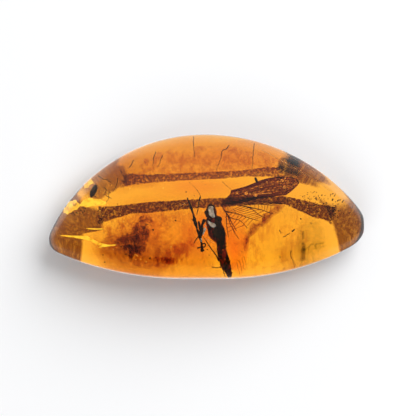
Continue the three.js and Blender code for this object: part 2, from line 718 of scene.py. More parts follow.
# old flow layers inside the stone: brown films and clouds of redder resin
oliveStreak = {
    "dark": paint(0.05, 0.04, 0.01),
    "light": paint(0.12, 0.09, 0.02),
    "tint": paint(0.72, 0.68, 0.46),
    "cover": 0.9,
    "soft": 0.5,
    "softEnds": 0.2,
    "depth": 4.6,
}
mottled = {"solid": 0.15, "speckle": 0.84, "ragged": 0.6}
flows = {
    "mottledFilm": {
        **mottled,
        "dark": paint(0.05, 0.02, 0.008),
        "light": paint(0.20, 0.09, 0.02),
        "tint": paint(0.62, 0.44, 0.34),
        "cover": 0.62,
        "cloud": 0.8,
        "grain": 1.9,
        "patchy": 2.6,
        "soft": 0.3,
        "softEnds": 0.25,
        "lower": [
            (-13.07, -5.79), (-12.5, -7.21), (-11.36, -8.21), (-9.79, -7.64), (-8.79, -6.5),
            (-8.21, -4.5),
        ],
        "upper": [
            (-13.21, -4.79), (-12.21, -3.64), (-10.93, -2.5), (-9.36, -1.36), (-7.79, -1.07),
            (-7.5, -3.07),
        ],
        "depth": 6.0,
    },
    "mottledCore": {
        **mottled,
        "dark": paint(0.04, 0.016, 0.006),
        "light": paint(0.14, 0.06, 0.015),
        "tint": paint(0.50, 0.34, 0.26),
        "cover": 0.5,
        "cloud": 1.1,
        "grain": 1.6,
        "patchy": 3.0,
        "soft": 0.35,
        "softEnds": 0.3,
        "lower": [(-12.36, -6.5), (-11.36, -7.36), (-10.07, -7.07), (-9.07, -5.93), (-8.36, -4.5)],
        "upper": [(-12.21, -4.79), (-11.21, -3.64), (-9.93, -2.79), (-8.64, -2.21), (-7.93, -3.07)],
        "depth": 5.4,
    },
    "flowLines": {
        "tint": paint(0.78, 0.58, 0.46),
        "solid": 0.03,
        "cover": 0.06,
        "cloud": 0.25,
        "grain": 1.0,
        "speckle": 0.42,
        "patchy": 2.0,
        "stretch": (1, 0.14, 1),
        "turn": 14,
        "soft": 0.2,
        "softEnds": 0.1,
        "lower": [
            (-16.64, -6.79), (-12.36, -8.79), (-8.07, -9.5), (-2.36, -9.79), (4.79, -9.79),
            (10.5, -9.36), (16.21, -7.36),
        ],
        "upper": [
            (-16.64, -1.07), (-12.36, -0.21), (-8.07, 0.07), (-2.36, 0.36), (4.79, 0.36),
            (10.5, 0.36), (16.21, -0.21),
        ],
        "depth": 5.8,
    },
    "leftHaze": {
        "tint": paint(0.80, 0.62, 0.50),
        "cover": 0.30,
        "cloud": 0.35,
        "grain": 1.1,
        "speckle": 0.67,
        "patchy": 2.4,
        "soft": 0.2,
        "softEnds": 0.2,
        "ragged": 0.4,
        "lower": [(-16.07, -6.21), (-14.07, -7.93), (-11.79, -8.93), (-8.07, -9.5), (-3.79, -9.64)],
        "upper": [(-16.07, -2.79), (-13.79, -1.93), (-11.21, -1.07), (-7.79, -0.79), (-3.79, -0.5)],
        "depth": 4.4,
    },
    "farHaze": {
        "tint": paint(0.84, 0.66, 0.54),
        "solid": 0.05,
        "cover": 0.25,
        "cloud": 0.4,
        "grain": 1.3,
        "speckle": 0.59,
        "patchy": 2.2,
        "soft": 0.15,
        "softEnds": 0.15,
        "ragged": 0.4,
        "lower": [
            (-12.93, 3.21), (-8.07, 3.93), (-2.36, 4.21), (3.36, 4.5), (9.07, 4.93),
            (14.07, 4.07),
        ],
        "upper": [
            (-10.64, 6.07), (-6.64, 8.07), (-2.36, 8.64), (3.36, 8.64), (8.21, 7.79),
            (13.36, 5.5),
        ],
        "depth": 3.4,
    },
    "streakedFilm": {
        "dark": paint(0.10, 0.02, 0.004),
        "light": paint(0.25, 0.08, 0.01),
        "tint": paint(0.82, 0.56, 0.40),
        "cover": 0.8,
        "cloud": 0.6,
        "grain": 1.2,
        "patchy": 1.6,
        "soft": 0.45,
        "softEnds": 0.5,
        "ragged": 0.5,
        "lower": [
            (-8.64, -9.36), (-6.5, -9.21), (-4.07, -8.21), (-2.36, -7.64), (-0.93, -6.5),
            (-0.79, -4.21),
        ],
        "upper": [
            (-8.5, -7.36), (-7.07, -6.36), (-5.5, -5.21), (-3.93, -3.93), (-2.93, -2.36),
            (-1.64, -1.36),
        ],
        "depth": 6.6,
    },
    "oliveFilm": {
        "dark": paint(0.05, 0.04, 0.01),
        "light": paint(0.18, 0.15, 0.03),
        "tint": paint(0.86, 0.86, 0.74),
        "solid": 0.05,
        "cover": 0.5,
        "cloud": 0.5,
        "grain": 1.4,
        "patchy": 0.7,
        "soft": 0.25,
        "softEnds": 0.2,
        "ragged": 0.4,
        "lower": [(12.21, -7.93), (13.07, -8.5), (14.21, -8.21), (15.64, -7.36), (17.07, -5.64)],
        "upper": [(13.07, -2.21), (13.79, -1.07), (14.79, -0.79), (16.07, -1.36), (17.07, -2.79)],
        "depth": 6.5,
    },
    "streakA": {
        **oliveStreak,
        "lower": [(13.41, -3.29), (13.47, -4.07), (13.5, -4.86)],
        "upper": [(13.99, -3.29), (14.01, -4.07), (13.99, -4.86)],
    },
    "streakB": {
        **oliveStreak,
        "lower": [(13.33, -4.79), (13.36, -5.79), (13.36, -6.79), (13.27, -7.93)],
        "upper": [(14.27, -4.79), (14.36, -5.79), (14.36, -6.79), (14.19, -7.93)],
    },
    "darkFilm": {
        "dark": paint(0.04, 0.035, 0.015),
        "light": paint(0.15, 0.12, 0.04),
        "tint": paint(0.62, 0.60, 0.55),
        "solid": 0.12,
        "cover": 0.7,
        "cloud": 0.5,
        "patchy": 0.9,
        "soft": 0.25,
        "softEnds": 0.2,
        "ragged": 0.4,
        "lower": [(9.93, 4.64), (11.07, 4.21), (12.36, 4.07), (13.64, 4.07)],
        "upper": [(10.21, 6.79), (11.07, 7.5), (12.21, 7.36), (13.5, 6.21)],
        "depth": 5.5,
    },
}


def makeFlows():
    for name, look in flows.items():
        depth = look["depth"]
        piece = patchBetween(
            name,
            look["lower"],
            look["upper"],
            lambda x, y: inAmber(x, y, depth + 0.3 * math.sin(x * 1.3) + 0.2 * math.cos(y * 2)),
            columns=50,
            rows=40,
        )
        settle(piece, name, stainAndShadeFinish(name, look))
        sealed(piece)


# centres, depths and radii in mm, absorption per metre for red, green and blue
clouds = {
    "redHalo": {
        "centre": (4.21, -5.50), "depth": 4.6, "radii": (2.5, 4.2, 1.7), "absorption": (4, 170, 300),
    },
    "bodyHalo": {
        "centre": (0.93, -2.93), "depth": 4.8, "radii": (5.0, 4.2, 1.9), "absorption": (20, 140, 210),
    },
    "legHalo": {
        "centre": (-2.36, -4.79), "depth": 5.2, "radii": (3.1, 4.0, 1.6), "absorption": (40, 130, 120),
    },
    "leftCloud": {
        "centre": (-10.93, -6.5), "depth": 5.0, "radii": (6.6, 3.8, 2.8), "absorption": (110, 200, 260),
    },
    "leftShade": {
        "centre": (-8.07, -3.07), "depth": 5.6, "radii": (5.6, 4.2, 2.1), "absorption": (20, 100, 130),
    },
    "wideCloud": {
        "centre": (-3.79, -8.21), "depth": 5.4, "radii": (7.6, 2.8, 1.9), "absorption": (40, 90, 110),
    },
    "rightCloud": {
        "centre": (13.36, -7.93), "depth": 4.6, "radii": (6.0, 2.6, 1.6), "absorption": (60, 70, 90),
    },
    "farCloud": {
        "centre": (1.07, 7.07), "depth": 3.8, "radii": (14.5, 3.2, 2.9), "absorption": (36, 98, 90),
    },
    "farLeftCloud": {
        "centre": (-11.21, 4.93), "depth": 3.4, "radii": (5.4, 3.0, 2.3), "absorption": (90, 170, 420),
    },
    "stripCloud": {
        "centre": (-1.50, 2.64), "depth": 4.4, "radii": (8.0, 1.9, 1.6), "absorption": (10, 80, 40),
    },
    "rightShade": {
        "centre": (15.07, -4.79), "depth": 4.4, "radii": (3.2, 3.8, 1.7), "absorption": (16, 20, 12),
    },
}


def keepInside(piece, middle, skin=0.4):
    # corners outside the stone are drawn in towards the middle, under a skin of clear amber
    for corner in piece.data.vertices:
        reach = corner.co - middle
        found = stoneTree.ray_cast(middle, reach.normalized(), reach.length + skin * mm)
        if found[0]:
            corner.co = middle + reach.normalized() * max(found[3] - skin * mm, 0.05 * mm)


def makeClouds():
    for i, (name, look) in enumerate(clouds.items()):
        clearSelection()
        place = inAmber(*look["centre"], look["depth"])
        bpy.ops.mesh.primitive_ico_sphere_add(subdivisions=5, radius=mm, location=place)
        piece = bpy.context.object
        start = Vector((3.7 * i, -2.1 * i, 1.3 * i))
        for corner in piece.data.vertices:
            way = corner.co / mm
            # thins towards the rim, so that the cloud has no hard edge
            corner.co.z *= (1.03 - way.x**2 - way.y**2) * (1 + 0.6 * noise.noise(way * 2 + start))
            swell = 1 + 0.45 * noise.noise(way * 1.6 - start)
            corner.co.x *= swell
            corner.co.y *= swell
        bpy.ops.transform.resize(value=look["radii"])
        settle(piece, name)
        keepInside(piece, place)
        finish = Finish(name)
        finish.set(BaseColor=paint(1, 1, 1), Roughness=0.0, IOR=1.0, TransmissionWeight=1.0)
        setAbsorption(finish, look["absorption"])
        settle(piece, name, finish)
        sealed(piece)


makeFlows()
makeClouds()
print("flow layers ready")

# the insect: head, chest and tail, seen from its back
insect = {
    "depth": 1.8,  # mm below the front, at its middle
    "flat": 0.72,  # height beside width
    "tailSinks": 1.0,  # mm that the tail's end lies deeper than the chest
    "eyes": [((0.06, -0.83), 0.38), ((1.16, -1), 0.3)],
    "eyeLength": 0.84,
    "shoulder": [
        ((1.53, -1.41), 0.16), ((1.7, -1.59), 0.34), ((1.81, -1.84), 0.42), ((1.87, -2.21), 0.3),
    ],
    "dark": paint(0.010, 0.007, 0.006),
    "red": paint(0.32, 0.030, 0.015),
    "green": paint(0.060, 0.045, 0.025),
    # painted light: the colour of lit resin shining through thin places of the body
    "orange": paint(0.95, 0.22, 0.03),
    "gaps": [
        ((2.3, -6), 0.1, 0.12), ((2.56, -7.16), 0.09, 0.13), ((0.43, -1.7), 0.1, 0.08),
        ((1, -1.76), 0.1, 0.06),
    ],
    "head": [
        ((0.64, 0.41), 0.1), ((0.63, 0.27), 0.34), ((0.61, 0), 0.56), ((0.59, -0.36), 0.74),
        ((0.59, -0.71), 0.84), ((0.63, -1.07), 0.84), ((0.7, -1.4), 0.74), ((0.79, -1.71), 0.62),
    ],
    "body": [
        ((0.74, -1.5), 0.56), ((0.8, -1.79), 0.92), ((0.93, -2.14), 1.06), ((1.1, -2.57), 1.06),
        ((1.21, -3), 1.12), ((1.33, -3.43), 1.2), ((1.5, -3.86), 1.2), ((1.76, -4.29), 1.02),
        ((2.01, -4.71), 0.74), ((2.07, -5.07), 0.66), ((2.09, -5.64), 0.61), ((2.13, -6.21), 0.66),
        ((2.21, -6.71), 0.7), ((2.39, -7.21), 0.72), ((2.53, -7.71), 0.71), ((2.7, -8.21), 0.68),
        ((2.93, -8.79), 0.58), ((3.11, -9.36), 0.46), ((3.27, -9.79), 0.35), ((3.36, -10.11), 0.24),
    ],
}


def loft(stations, depth, flat=1.0, sides=20, sink=0.0):
    # a disc pulled through the stations, each a place and a half width
    count = len(stations)
    places = [
        inAmber(*point, depth + sink * i / (count - 1)) for i, (point, _) in enumerate(stations)
    ]
    return pulled(places, [girth for _, girth in stations], flat, sides)


def bodyFinish():
    finish = Finish("darkCuticle")
    streaks = finish.noise(1.3, detail=5, roughness=0.7, along=finish.stretched((1, 0.28, 1), 18))
    grain = finish.noise(3.0, detail=6, roughness=0.75)
    x = finish.axis("X")
    y = finish.axis("Y")
    tailward = 1 - y.ramp(-9.0, -6.4)
    headward = y.ramp(-2.4, -1.4)
    red = streaks.ramp(0.50, 0.58) * (1 - 0.5 * tailward) * (1 - 0.75 * headward)
    green = grain.ramp(0.45, 0.7) * (0.12 + 0.88 * tailward)
    colour = finish.mix(insect["dark"], insect["red"], red)
    colour = finish.mix(colour, insect["green"], green)
    for (spotX, spotY), wide, high in insect["gaps"]:
        # painted light: bright resin colour on thin places, standing in for the lit resin behind
        # shining through
        away = (((x - spotX) / wide) ** 2 + ((y - spotY) / high) ** 2) ** 0.5
        gap = 1 - (away + (grain - 0.5) * 2.4).ramp(0.5, 1.2)
        colour = finish.mix(colour, insect["orange"], gap)
    finish.set(BaseColor=colour, Roughness=0.45 + grain * 0.3, SpecularIORLevel=0.25)
    finish.bumps(streaks + grain * 0.6, 0.12, 0.8)
    return finish


def makeInsectBody():
    cuticle = bodyFinish()
    head = loft(insect["head"], insect["depth"], insect["flat"])
    chest = loft(insect["body"], insect["depth"], insect["flat"], sink=insect["tailSinks"])
    eyes = []
    for point, girth in insect["eyes"]:
        place = inAmber(*point, insect["depth"] - 0.1)
        half = Vector((0, insect["eyeLength"] / 2, 0)) * mm
        ends = (place + half, place - half)
        eyes.append(spindle(*ends, [girth * k for k in (0.3, 0.8, 1.0, 0.8, 0.3)], sides=14))
    shoulder = loft(insect["shoulder"], insect["depth"])
    piece = joinPieces([head, chest, shoulder] + eyes, "insectBody")
    soften(piece, 2)
    roughen(piece, size=0.45, strength=0.22, seed=2.0)
    settle(piece, "insectBody", cuticle)
    sealed(piece)


makeInsectBody()
print("body ready")

# legs and feelers
limbs = {
    "thigh": {
        "points": [(-0.26, -1.84), (-0.66, -2.64), (-0.55, -3.36), (-0.71, -4.16)],
        "girths": [(0.21, 0.15), (0.17, 0.13), (0.14, 0.1)],
    },
    "shin": {
        "points": [
            (-1.11, -2.11), (-0.84, -3.36), (-0.88, -4.16), (-0.71, -5.23), (-0.66, -5.95),
            (-0.55, -6.35),
        ],
        "girths": [(0.13, 0.18), (0.2, 0.16), (0.15, 0.13), (0.13, 0.17), (0.2, 0.24)],
    },
    "footHook": {
        "points": [(-0.66, -5.32), (-0.21, -5.23), (-0.11, -5.5), (-0.26, -5.72), (-0.66, -5.81)],
        "girths": [(0.08, 0.08), (0.08, 0.08), (0.08, 0.07), (0.08, 0.08)],
    },
    "footSpur": {"points": [(-1.33, -5.88), (-0.71, -5.81)], "girths": [(0.09, 0.08)]},
    "longLeg": {
        "points": [
            (-2.73, 1.24), (-2.27, 0.04), (-1.87, -1.12), (-1.64, -2.11), (-1.33, -3.18),
            (-1.02, -4.25), (-0.88, -4.79),
        ],
        "girths": [(0.07, 0.13), (0.15, 0.11), (0.13, 0.21), (0.22, 0.13), (0.14, 0.12), (0.12, 0.08)],
    },
    "spur": {"points": [(-2.13, -1.77), (-1.66, -2.11)], "girths": [(0.05, 0.13)]},
    "thinFeeler": {
        "points": [(-0.86, 1.42), (-1.06, 0.75), (-1.15, -0.14), (-1.39, -1.21)],
        "girths": [(0.09, 0.07), (0.08, 0.06), (0.06, 0.035)],
    },
    "feelerTip": {
        "points": [(-2.5, 3.5), (-1.71, 2.79), (-1.1, 1.99), (-0.81, 1.36)],
        "girths": [(0.014, 0.018), (0.018, 0.022), (0.022, 0.03)],
    },
    "sideLeg": {
        "points": [(-1.06, -4.16), (-1.51, -4.7), (-1.8, -5.23)],
        "girths": [(0.08, 0.07), (0.06, 0.05)],
    },
    "bristleLeg": {
        "points": [(-0.48, -4.25), (0.05, -5.05), (0.77, -6.12), (1.44, -7.02), (1.71, -7.73)],
        "girths": [(0.035, 0.05), (0.05, 0.06), (0.06, 0.07), (0.08, 0.09)],
    },
    "tailHook": {
        "points": [(0.81, -8.58), (1.21, -8.71), (1.75, -8.67), (2.15, -8.58)],
        "girths": [(0.05, 0.05), (0.05, 0.05), (0.06, 0.08)],
    },
}
bristles = {"count": 70, "reach": (0.1, 0.4), "girths": [0.04, 0.03, 0.02]}
legColours = (paint(0.012, 0.007, 0.006), paint(0.06, 0.012, 0.006))
limbLayers = {
    "above": 0.5,  # mm the first layer lies in front of the body's middle
    "step": 0.23,
    "count": 4,
    "wave": 0.12,  # mm each limb rises and falls from joint to joint
}


def makeLimbs():
    cuticle = Finish("legCuticle")
    grain = cuticle.noise(2.5, detail=4)
    cuticle.set(
        BaseColor=cuticle.mix(*legColours, grain.ramp(0.5, 0.68)),
        Roughness=0.5,
        SpecularIORLevel=0.35,
    )
    rods = []
    for i, limb in enumerate(limbs.values()):
        depth = insect["depth"] - limbLayers["above"] + limbLayers["step"] * (i % limbLayers["count"])
        places = [
            inAmber(*point, depth + limbLayers["wave"] * math.sin(2.1 * k))
            for k, point in enumerate(limb["points"])
        ]
        rods += chain(places, limb["girths"])
    chance = random.Random(5)
    for _ in range(bristles["count"]):
        # short hairs along both sides of the body
        (x, y), girth = chance.choice(insect["body"][1:-2])
        side = chance.choice((-1, 1))
        root = (x + side * girth * 0.85, y)
        tip = (root[0] + side * chance.uniform(*bristles["reach"]), root[1] - chance.uniform(-0.1, 0.4))
        depth = insect["depth"] + chance.uniform(0, 0.4)
        rods.append(spindle(inAmber(*root, depth), inAmber(*tip, depth), bristles["girths"], sides=6))
    piece = joinPieces(rods, "legs")
    soften(piece, 1)
    roughen(piece, size=0.25, strength=0.05, seed=1.0)
    settle(piece, "legs", cuticle)
    sealed(piece)


makeLimbs()
print("legs ready")

# silvery films of trapped air on the head, the chest and a leg; they shine by themselves, painted light
# that stands in for the light the air films mirror
films = {
    "colour": paint(0.74, 0.86, 1),
    "shade": paint(0.26, 0.32, 0.42),
    "glow": paint(0.37, 0.62, 1),  # painted light, the films' own shine: seen as white through the amber
    "glowStrength": 0.36,
    "depth": 0.62,
    "thickness": 0.08,
    "outlines": {
        "headFilm": [
            (0.28, 0.05), (0.86, 0.11), (1.04, -0.23), (0.98, -0.72), (1.18, -1.17), (1.23, -1.5),
            (0.88, -1.68), (0.54, -1.32), (0.2, -1.07), (0.38, -0.77), (0.12, -0.38),
        ],
        "chestFilm": [
            (0.11, -1.91), (0.34, -2.02), (0.59, -2.27), (1.04, -2.3), (1.36, -2.61),
            (1.32, -2.91), (0.82, -3.02), (0.45, -2.7), (0.14, -2.32),
        ],
        "legFilm": [
            (-0.36, -2.89), (-0.11, -2.98), (0, -3.2), (-0.21, -3.54), (-0.39, -3.89),
            (-0.5, -4.16), (-0.55, -3.8), (-0.43, -3.36),
        ],
        "thighFilm": [(-0.25, -2.61), (0, -2.64), (0.04, -2.82), (-0.23, -2.8)],
        "shinFilm": [(-0.88, -4.52), (-0.66, -4.43), (-0.61, -4.88), (-0.75, -5.11), (-0.88, -4.88)],
    },
}


flakeRim = {"width": 0.09, "step": 0.05}  # mm


def flake(name, outline, depth, thickness, rounding):
    # a disc drawn out to the outline, thickened, and rounded off
    clearSelection()
    places = [inAmber(*point, depth) for point in outline]
    bpy.ops.mesh.primitive_circle_add(vertices=len(outline), radius=mm, fill_type="NGON")
    piece = bpy.context.object
    for corner, place in zip(piece.data.vertices, places):
        corner.co = place
    bpy.ops.object.mode_set(mode="EDIT")
    bpy.ops.mesh.inset(thickness=flakeRim["width"] * mm, depth=flakeRim["step"] * mm)
    bpy.ops.mesh.select_all(action="SELECT")
    bpy.ops.mesh.normals_make_consistent(inside=False)
    bpy.ops.object.mode_set(mode="OBJECT")
    piece.name = name
    thicken(piece, thickness)
    if rounding:
        soften(piece, rounding)
    return piece


def makeFilms():
    finish = Finish("silverFilm")
    marbling = finish.noise(2.6, detail=5, roughness=0.7)
    finish.set(
        BaseColor=finish.mix(films["shade"], films["colour"], marbling.ramp(0.36, 0.6)),
        Roughness=0.35,
        SpecularIORLevel=0.6,
        # painted light: the films shine by themselves
        EmissionColor=finish.mix(paint(0, 0, 0), films["glow"], marbling.ramp(0.40, 0.56)),
        EmissionStrength=films["glowStrength"],
    )
    finish.bumps(marbling, 0.15, 0.7)
    flakes = [
        flake(name, outline, films["depth"], films["thickness"], 2)
        for name, outline in films["outlines"].items()
    ]
    piece = joinPieces(flakes, "silverFilms")
    settle(piece, "silverFilms", finish)
    sealed(piece)


makeFilms()
print("silver films ready")

# the narrow forewing, folded over the fan-shaped hindwing
forewing = {
    "depth": 1.9,
    "fold": 0.35,  # mm the middle stands up
    "thickness": 0.05,
    "ribs": 15,
    "upper": [
        (2.26, 0.79), (2.79, 1.17), (3.36, 1.73), (3.5, 2.31), (4.37, 2.53), (5.36, 2.79),
        (6.51, 3.23), (7.54, 3.69), (8.77, 4.04), (9.93, 4.21), (11.21, 4.27), (12.21, 4.14),
        (12.86, 3.89), (13.19, 3.46),
    ],
    "lower": [
        (2.3, 0.57), (2.86, 0.27), (3.57, 0.23), (4.36, 0.36), (5.3, 0.57), (6.21, 0.81),
        (7.21, 1.03), (8.36, 1.23), (9.36, 1.36), (10.36, 1.5), (11.36, 1.64), (12.07, 2.19),
        (12.79, 2.84), (13.17, 3.33),
    ],
    "dark": paint(0.014, 0.004, 0.004),
    "brown": paint(0.62, 0.17, 0.045),
    "tint": paint(0.46, 0.17, 0.12),
    "spots": [
        ((5.61, 1.87), 0.26), ((6.14, 1.81), 0.16), ((6.93, 1.64), 0.3), ((11.03, 2.74), 0.24),
        ((10.71, 3.74), 0.2), ((11.14, 3.99), 0.16), ((8.57, 3.46), 0.14), ((4.29, 1.96), 0.16),
    ],
    "streak": ((6.93, 1.76), (9.36, 1.9)),
    "blister": paint(0.95, 0.62, 0.25),
    # painted light: the blisters' own shine
    "blisterGlow": paint(1.0, 0.42, 0.10),
    "blisterHeight": 0.4,  # mm above the wing's edges
}


def forewingFinish():
    finish = Finish("forewingSkin")
    share, across = finish.acrossSheet()
    grain = finish.noise(2.8, detail=6, roughness=0.8)
    mesh = finish.cells(2.3, along=finish.stretched((0.7, 1.4, 1), -8))
    # dark stripes along the front edge, the middle and the hind edge
    wander = (finish.noise(0.5, detail=3) - 0.5) * 0.16
    place = across + wander
    front = 1 - ((place - 0.93).size() / 0.10).ramp(0.5, 1.2)
    middle = 1 - ((place - 0.56).size() / 0.07).ramp(0.4, 1.2)
    hind = 1 - ((place - 0.13).size() / 0.13).ramp(0.5, 1.2)
    base = 1 - share.ramp(0.12, 0.3)
    stripes = front.atLeast(middle * 0.9).atLeast(hind).atLeast(base * 0.5)
    netting = 1 - mesh.ramp(0.02, 0.14)
    ribs = ((across + wander * 0.5) * forewing["ribs"] * math.pi).sine().ramp(0.35, 0.9)
    tip = share.ramp(0.5, 0.8)
    light = (1 - stripes * (1 - tip * 0.5)) * (1 - netting * 0.9) * (1 - ribs * 0.8)
    light = light * grain.ramp(0.40, 0.54)
    finish.set(
        BaseColor=finish.mix(forewing["dark"], forewing["brown"], light),
        Roughness=0.6,
        SpecularIORLevel=0.2,
    )
    finish.film(1 - light * 0.7, forewing["tint"], 0.4)
    finish.bumps(stripes + netting * 0.5, 0.08, 0.6)
    return finish


def makeForewing():
    def placed(x, y):
        return inAmber(x, y, forewing["depth"])

    columns, rows = 120, 20
    piece = patchBetween(
        "forewing", forewing["lower"], forewing["upper"], placed, columns, rows, thickness=0
    )
    # folded along its length, so that the middle stands nearer to the front
    for i, corner in enumerate(piece.data.vertices):
        across = i // (columns + 1) / rows
        corner.co.z += forewing["fold"] * mm * math.sin(math.pi * across)
    thicken(piece, forewing["thickness"])
    settle(piece, "forewing", forewingFinish())
    sealed(piece)


def makeWingSpots():
    # pale blisters of trapped air on the forewing; they shine by themselves, painted light standing in
    # for the light they catch
    finish = Finish("wingBlister")
    finish.set(
        BaseColor=forewing["blister"],
        Roughness=0.4,
        EmissionColor=forewing["blisterGlow"],
        EmissionStrength=0.30,
    )
    depth = forewing["depth"] - forewing["blisterHeight"]
    spots = []
    for point, girth in forewing["spots"]:
        place = inAmber(*point, depth)
        half = Vector((girth, girth * 0.2, 0)) * mm
        girths = [girth * k for k in (0.3, 0.75, 0.9, 0.7, 0.3)]
        spots.append(spindle(place - half, place + half, girths, flat=0.5))
    ends = [inAmber(*point, depth) for point in forewing["streak"]]
    spots.append(spindle(*ends, [0.05, 0.09, 0.06, 0.09, 0.05, 0.07, 0.03], flat=0.5))
    piece = joinPieces(spots, "wingBlisters")
    soften(piece, 1)
    settle(piece, "wingBlisters", finish)
    sealed(piece)


makeForewing()
makeWingSpots()
print("forewing ready")

# the hindwing: a clear fan with real veins and a smoky margin
hindwing = {
    "depth": 2.7,
    "base": (2.14, 0.57),
    "margin": [
        (11.42, 1.64), (11.27, 0.72), (11.16, 0.11), (10.6, -0.65), (9.89, -1.16), (9.28, -1.52),
        (8.79, -2.34), (8.26, -2.87), (7.54, -2.95), (7.23, -3.56), (6.62, -4.02), (6.11, -4.43),
        (5.97, -5.6), (5.65, -6.83), (4.58, -7.03), (3.77, -6.21), (2.95, -3.97), (2.34, -1.93),
    ],
    "veins": [
        [
            (2.03, 0.42), (2.44, -0.5), (2.95, -1.03), (3.26, -1.6), (4.17, -1.83),
            (4.63, -1.85), (5.14, -2.29), (5.6, -2.85), (5.83, -3.1),
        ],
        [
            (2.74, -0.7), (3.26, -0.81), (3.87, -0.91), (4.79, -1.16), (5.6, -1.47),
            (6.42, -1.78), (7.34, -1.98),
        ],
        [(4.28, 0.21), (5.6, 0.01), (6.62, -0.35), (7.08, -0.96), (7.74, -1.32), (8.31, -1.6)],
        [(5.6, 0.01), (6.93, -0.3), (7.95, -0.4), (8.56, -0.81), (9.48, -1.03)],
        [(5.6, 0.5), (7.34, 0.32), (8.56, 0.27), (9.79, 0.11)],
        [(2.95, -1.03), (3.17, -1.93), (3.41, -2.74), (3.62, -2.95)],
        [(6.52, 0.81), (8.15, 0.72), (9.58, 0.57), (11.01, 0.42)],
        [(3.26, -1.6), (3.66, -2.54), (4.28, -3.46)],
        [(2.85, -0.91), (2.74, -1.93), (2.85, -3.15), (3.15, -4.38)],
        [(3.62, -2.95), (3.97, -3.77), (4.58, -4.58)],
    ],
    "crossVeins": [(2, 1, 9), (4, 3, 7), (1, 0, 9), (6, 4, 6), (0, 7, 6), (7, 8, 5), (3, 2, 5)],
    "ripple": 0.1,  # mm the membrane rises and falls at the margin
    "ripples": 34,  # radians from end to end of the margin
    "veinsAbove": 0.06,  # mm in front of the membrane
    "mainGirth": 0.065,
    "crossGirth": 0.045,
    "smoke": paint(0.07, 0.014, 0.005),
    "paleSmoke": paint(0.22, 0.07, 0.02),
    "smokeTint": paint(0.58, 0.30, 0.24),
    "vein": paint(0.10, 0.018, 0.006),
    "veinTint": paint(0.52, 0.20, 0.15),
}


def hindwingFinish():
    finish = Finish("hindwingSkin")
    share, across = finish.acrossSheet()
    grain = finish.noise(1.1, detail=4, roughness=0.6)
    fine = finish.noise(4.0, detail=3)
    outer = (across + (grain - 0.5) * 0.16).ramp(0.80, 0.93)
    strength = 0.55 + 0.55 * (grain - 0.5) * 4
    fading = 1 - share.ramp(0.70, 0.80)
    rootShade = (1 - across.ramp(0.05, 0.28)) * 0.5
    edge = 1 - across.ramp(0.90, 1.0) * 0.75
    smoke = (outer * strength * fading * edge).atLeast(rootShade * grain.ramp(0.35, 0.6))
    finish.set(
        BaseColor=finish.mix(hindwing["smoke"], hindwing["paleSmoke"], fine.ramp(0.4, 0.7)),
        Roughness=0.5,
        SpecularIORLevel=0.1,
    )
    finish.film((0.05 + smoke * 1.3).atMost(1), hindwing["smokeTint"], 0.15)
    return finish


def makeHindwing():
    base = Vector(hindwing["base"])

    def placeAt(share, across):
        margin = Vector(pointAlong(hindwing["margin"], share))
        x, y = base.lerp(margin, 0.02 + 0.98 * across)
        ripple = hindwing["ripple"] * math.sin(share * hindwing["ripples"]) * across
        return inAmber(x, y, hindwing["depth"] + ripple)

    piece = sheet("hindwing", 110, 34, placeAt, filmThickness)
    settle(piece, "hindwing", hindwingFinish())
    sealed(piece)


def veinFinish(name, cover, solid):
    finish = Finish(name)
    finish.set(BaseColor=hindwing["vein"], Roughness=0.5, SpecularIORLevel=0.1)
    finish.film(cover, hindwing["veinTint"], solid)
    return finish


def makeVeins():
    depth = hindwing["depth"] - hindwing["veinsAbove"]
    veins = hindwing["veins"]
    routes = [[inAmber(*point, depth) for point in vein] for vein in veins]
    main = strand("mainVeins", routes, hindwing["mainGirth"])
    settle(main, "mainVeins", veinFinish("mainVein", 1.0, 0.6))
    sealed(main)
    cross = []
    for first, second, count in hindwing["crossVeins"]:
        for i in range(count):
            share = 0.10 + 0.86 * i / count
            starts = pointAlong(veins[first], share)
            ends = pointAlong(veins[second], min(share + 0.02, 1))
            halfway = [(a + b) / 2 + 0.05 * math.sin(i * 2.3) for a, b in zip(starts, ends)]
            cross.append([inAmber(*point, depth) for point in (starts, halfway, ends)])
    fine = strand("crossVeins", cross, hindwing["crossGirth"])
    settle(fine, "crossVeins", veinFinish("crossVein", 0.95, 0.05))
    sealed(fine)


makeHindwing()
makeVeins()
print("hindwing ready:", len(hindwing["veins"]), "main veins")

# small things in the resin: pellets, cracks, gold flakes, dark specks, and tiny balls that shine by
# themselves as painted highlights
pellets = {
    "pellet": {"ends": ((-15.67, 3.13), (-16.53, 1.33)), "girth": 0.34, "depth": 2.2},
    "seed": {"ends": ((12.56, -3.21), (12.13, -3.59)), "girth": 0.11, "depth": 3.5},
    "seedTail": {"ends": ((11.96, -3.76), (10.93, -4.33)), "girth": 0.06, "depth": 3.5},
    "speckA": {"ends": ((-7.64, -3.2), (-7.51, -3.39)), "girth": 0.1, "depth": 3},
    "speckB": {"ends": ((-8.07, -7.29), (-8, -7.44)), "girth": 0.08, "depth": 3},
    "speckC": {"ends": ((-14.79, -6.86), (-14.7, -6.99)), "girth": 0.08, "depth": 3},
    "speckF": {"ends": ((-14.57, -7.86), (-14.47, -7.99)), "girth": 0.08, "depth": 3},
    "speckG": {"ends": ((-4.5, -1.93), (-4.27, -2.07)), "girth": 0.11, "depth": 3.4},
    "speckH": {"ends": ((-2.93, 2.14), (-2.84, 2)), "girth": 0.09, "depth": 2.8},
    "speckI": {"ends": ((-12.21, -5.64), (-12.07, -5.81)), "girth": 0.1, "depth": 3.2},
    "speckD": {"ends": ((14.81, -2.27), (14.93, -2.44)), "girth": 0.11, "depth": 3},
    "speckE": {"ends": ((13.34, -1.69), (13.5, -1.86)), "girth": 0.1, "depth": 3.2},
    "notch": {"ends": ((6.87, 4.14), (7.24, 3.41)), "girth": 0.2, "depth": 2.4},
}
pelletColours = (paint(0.012, 0.008, 0.005), paint(0.07, 0.035, 0.012))


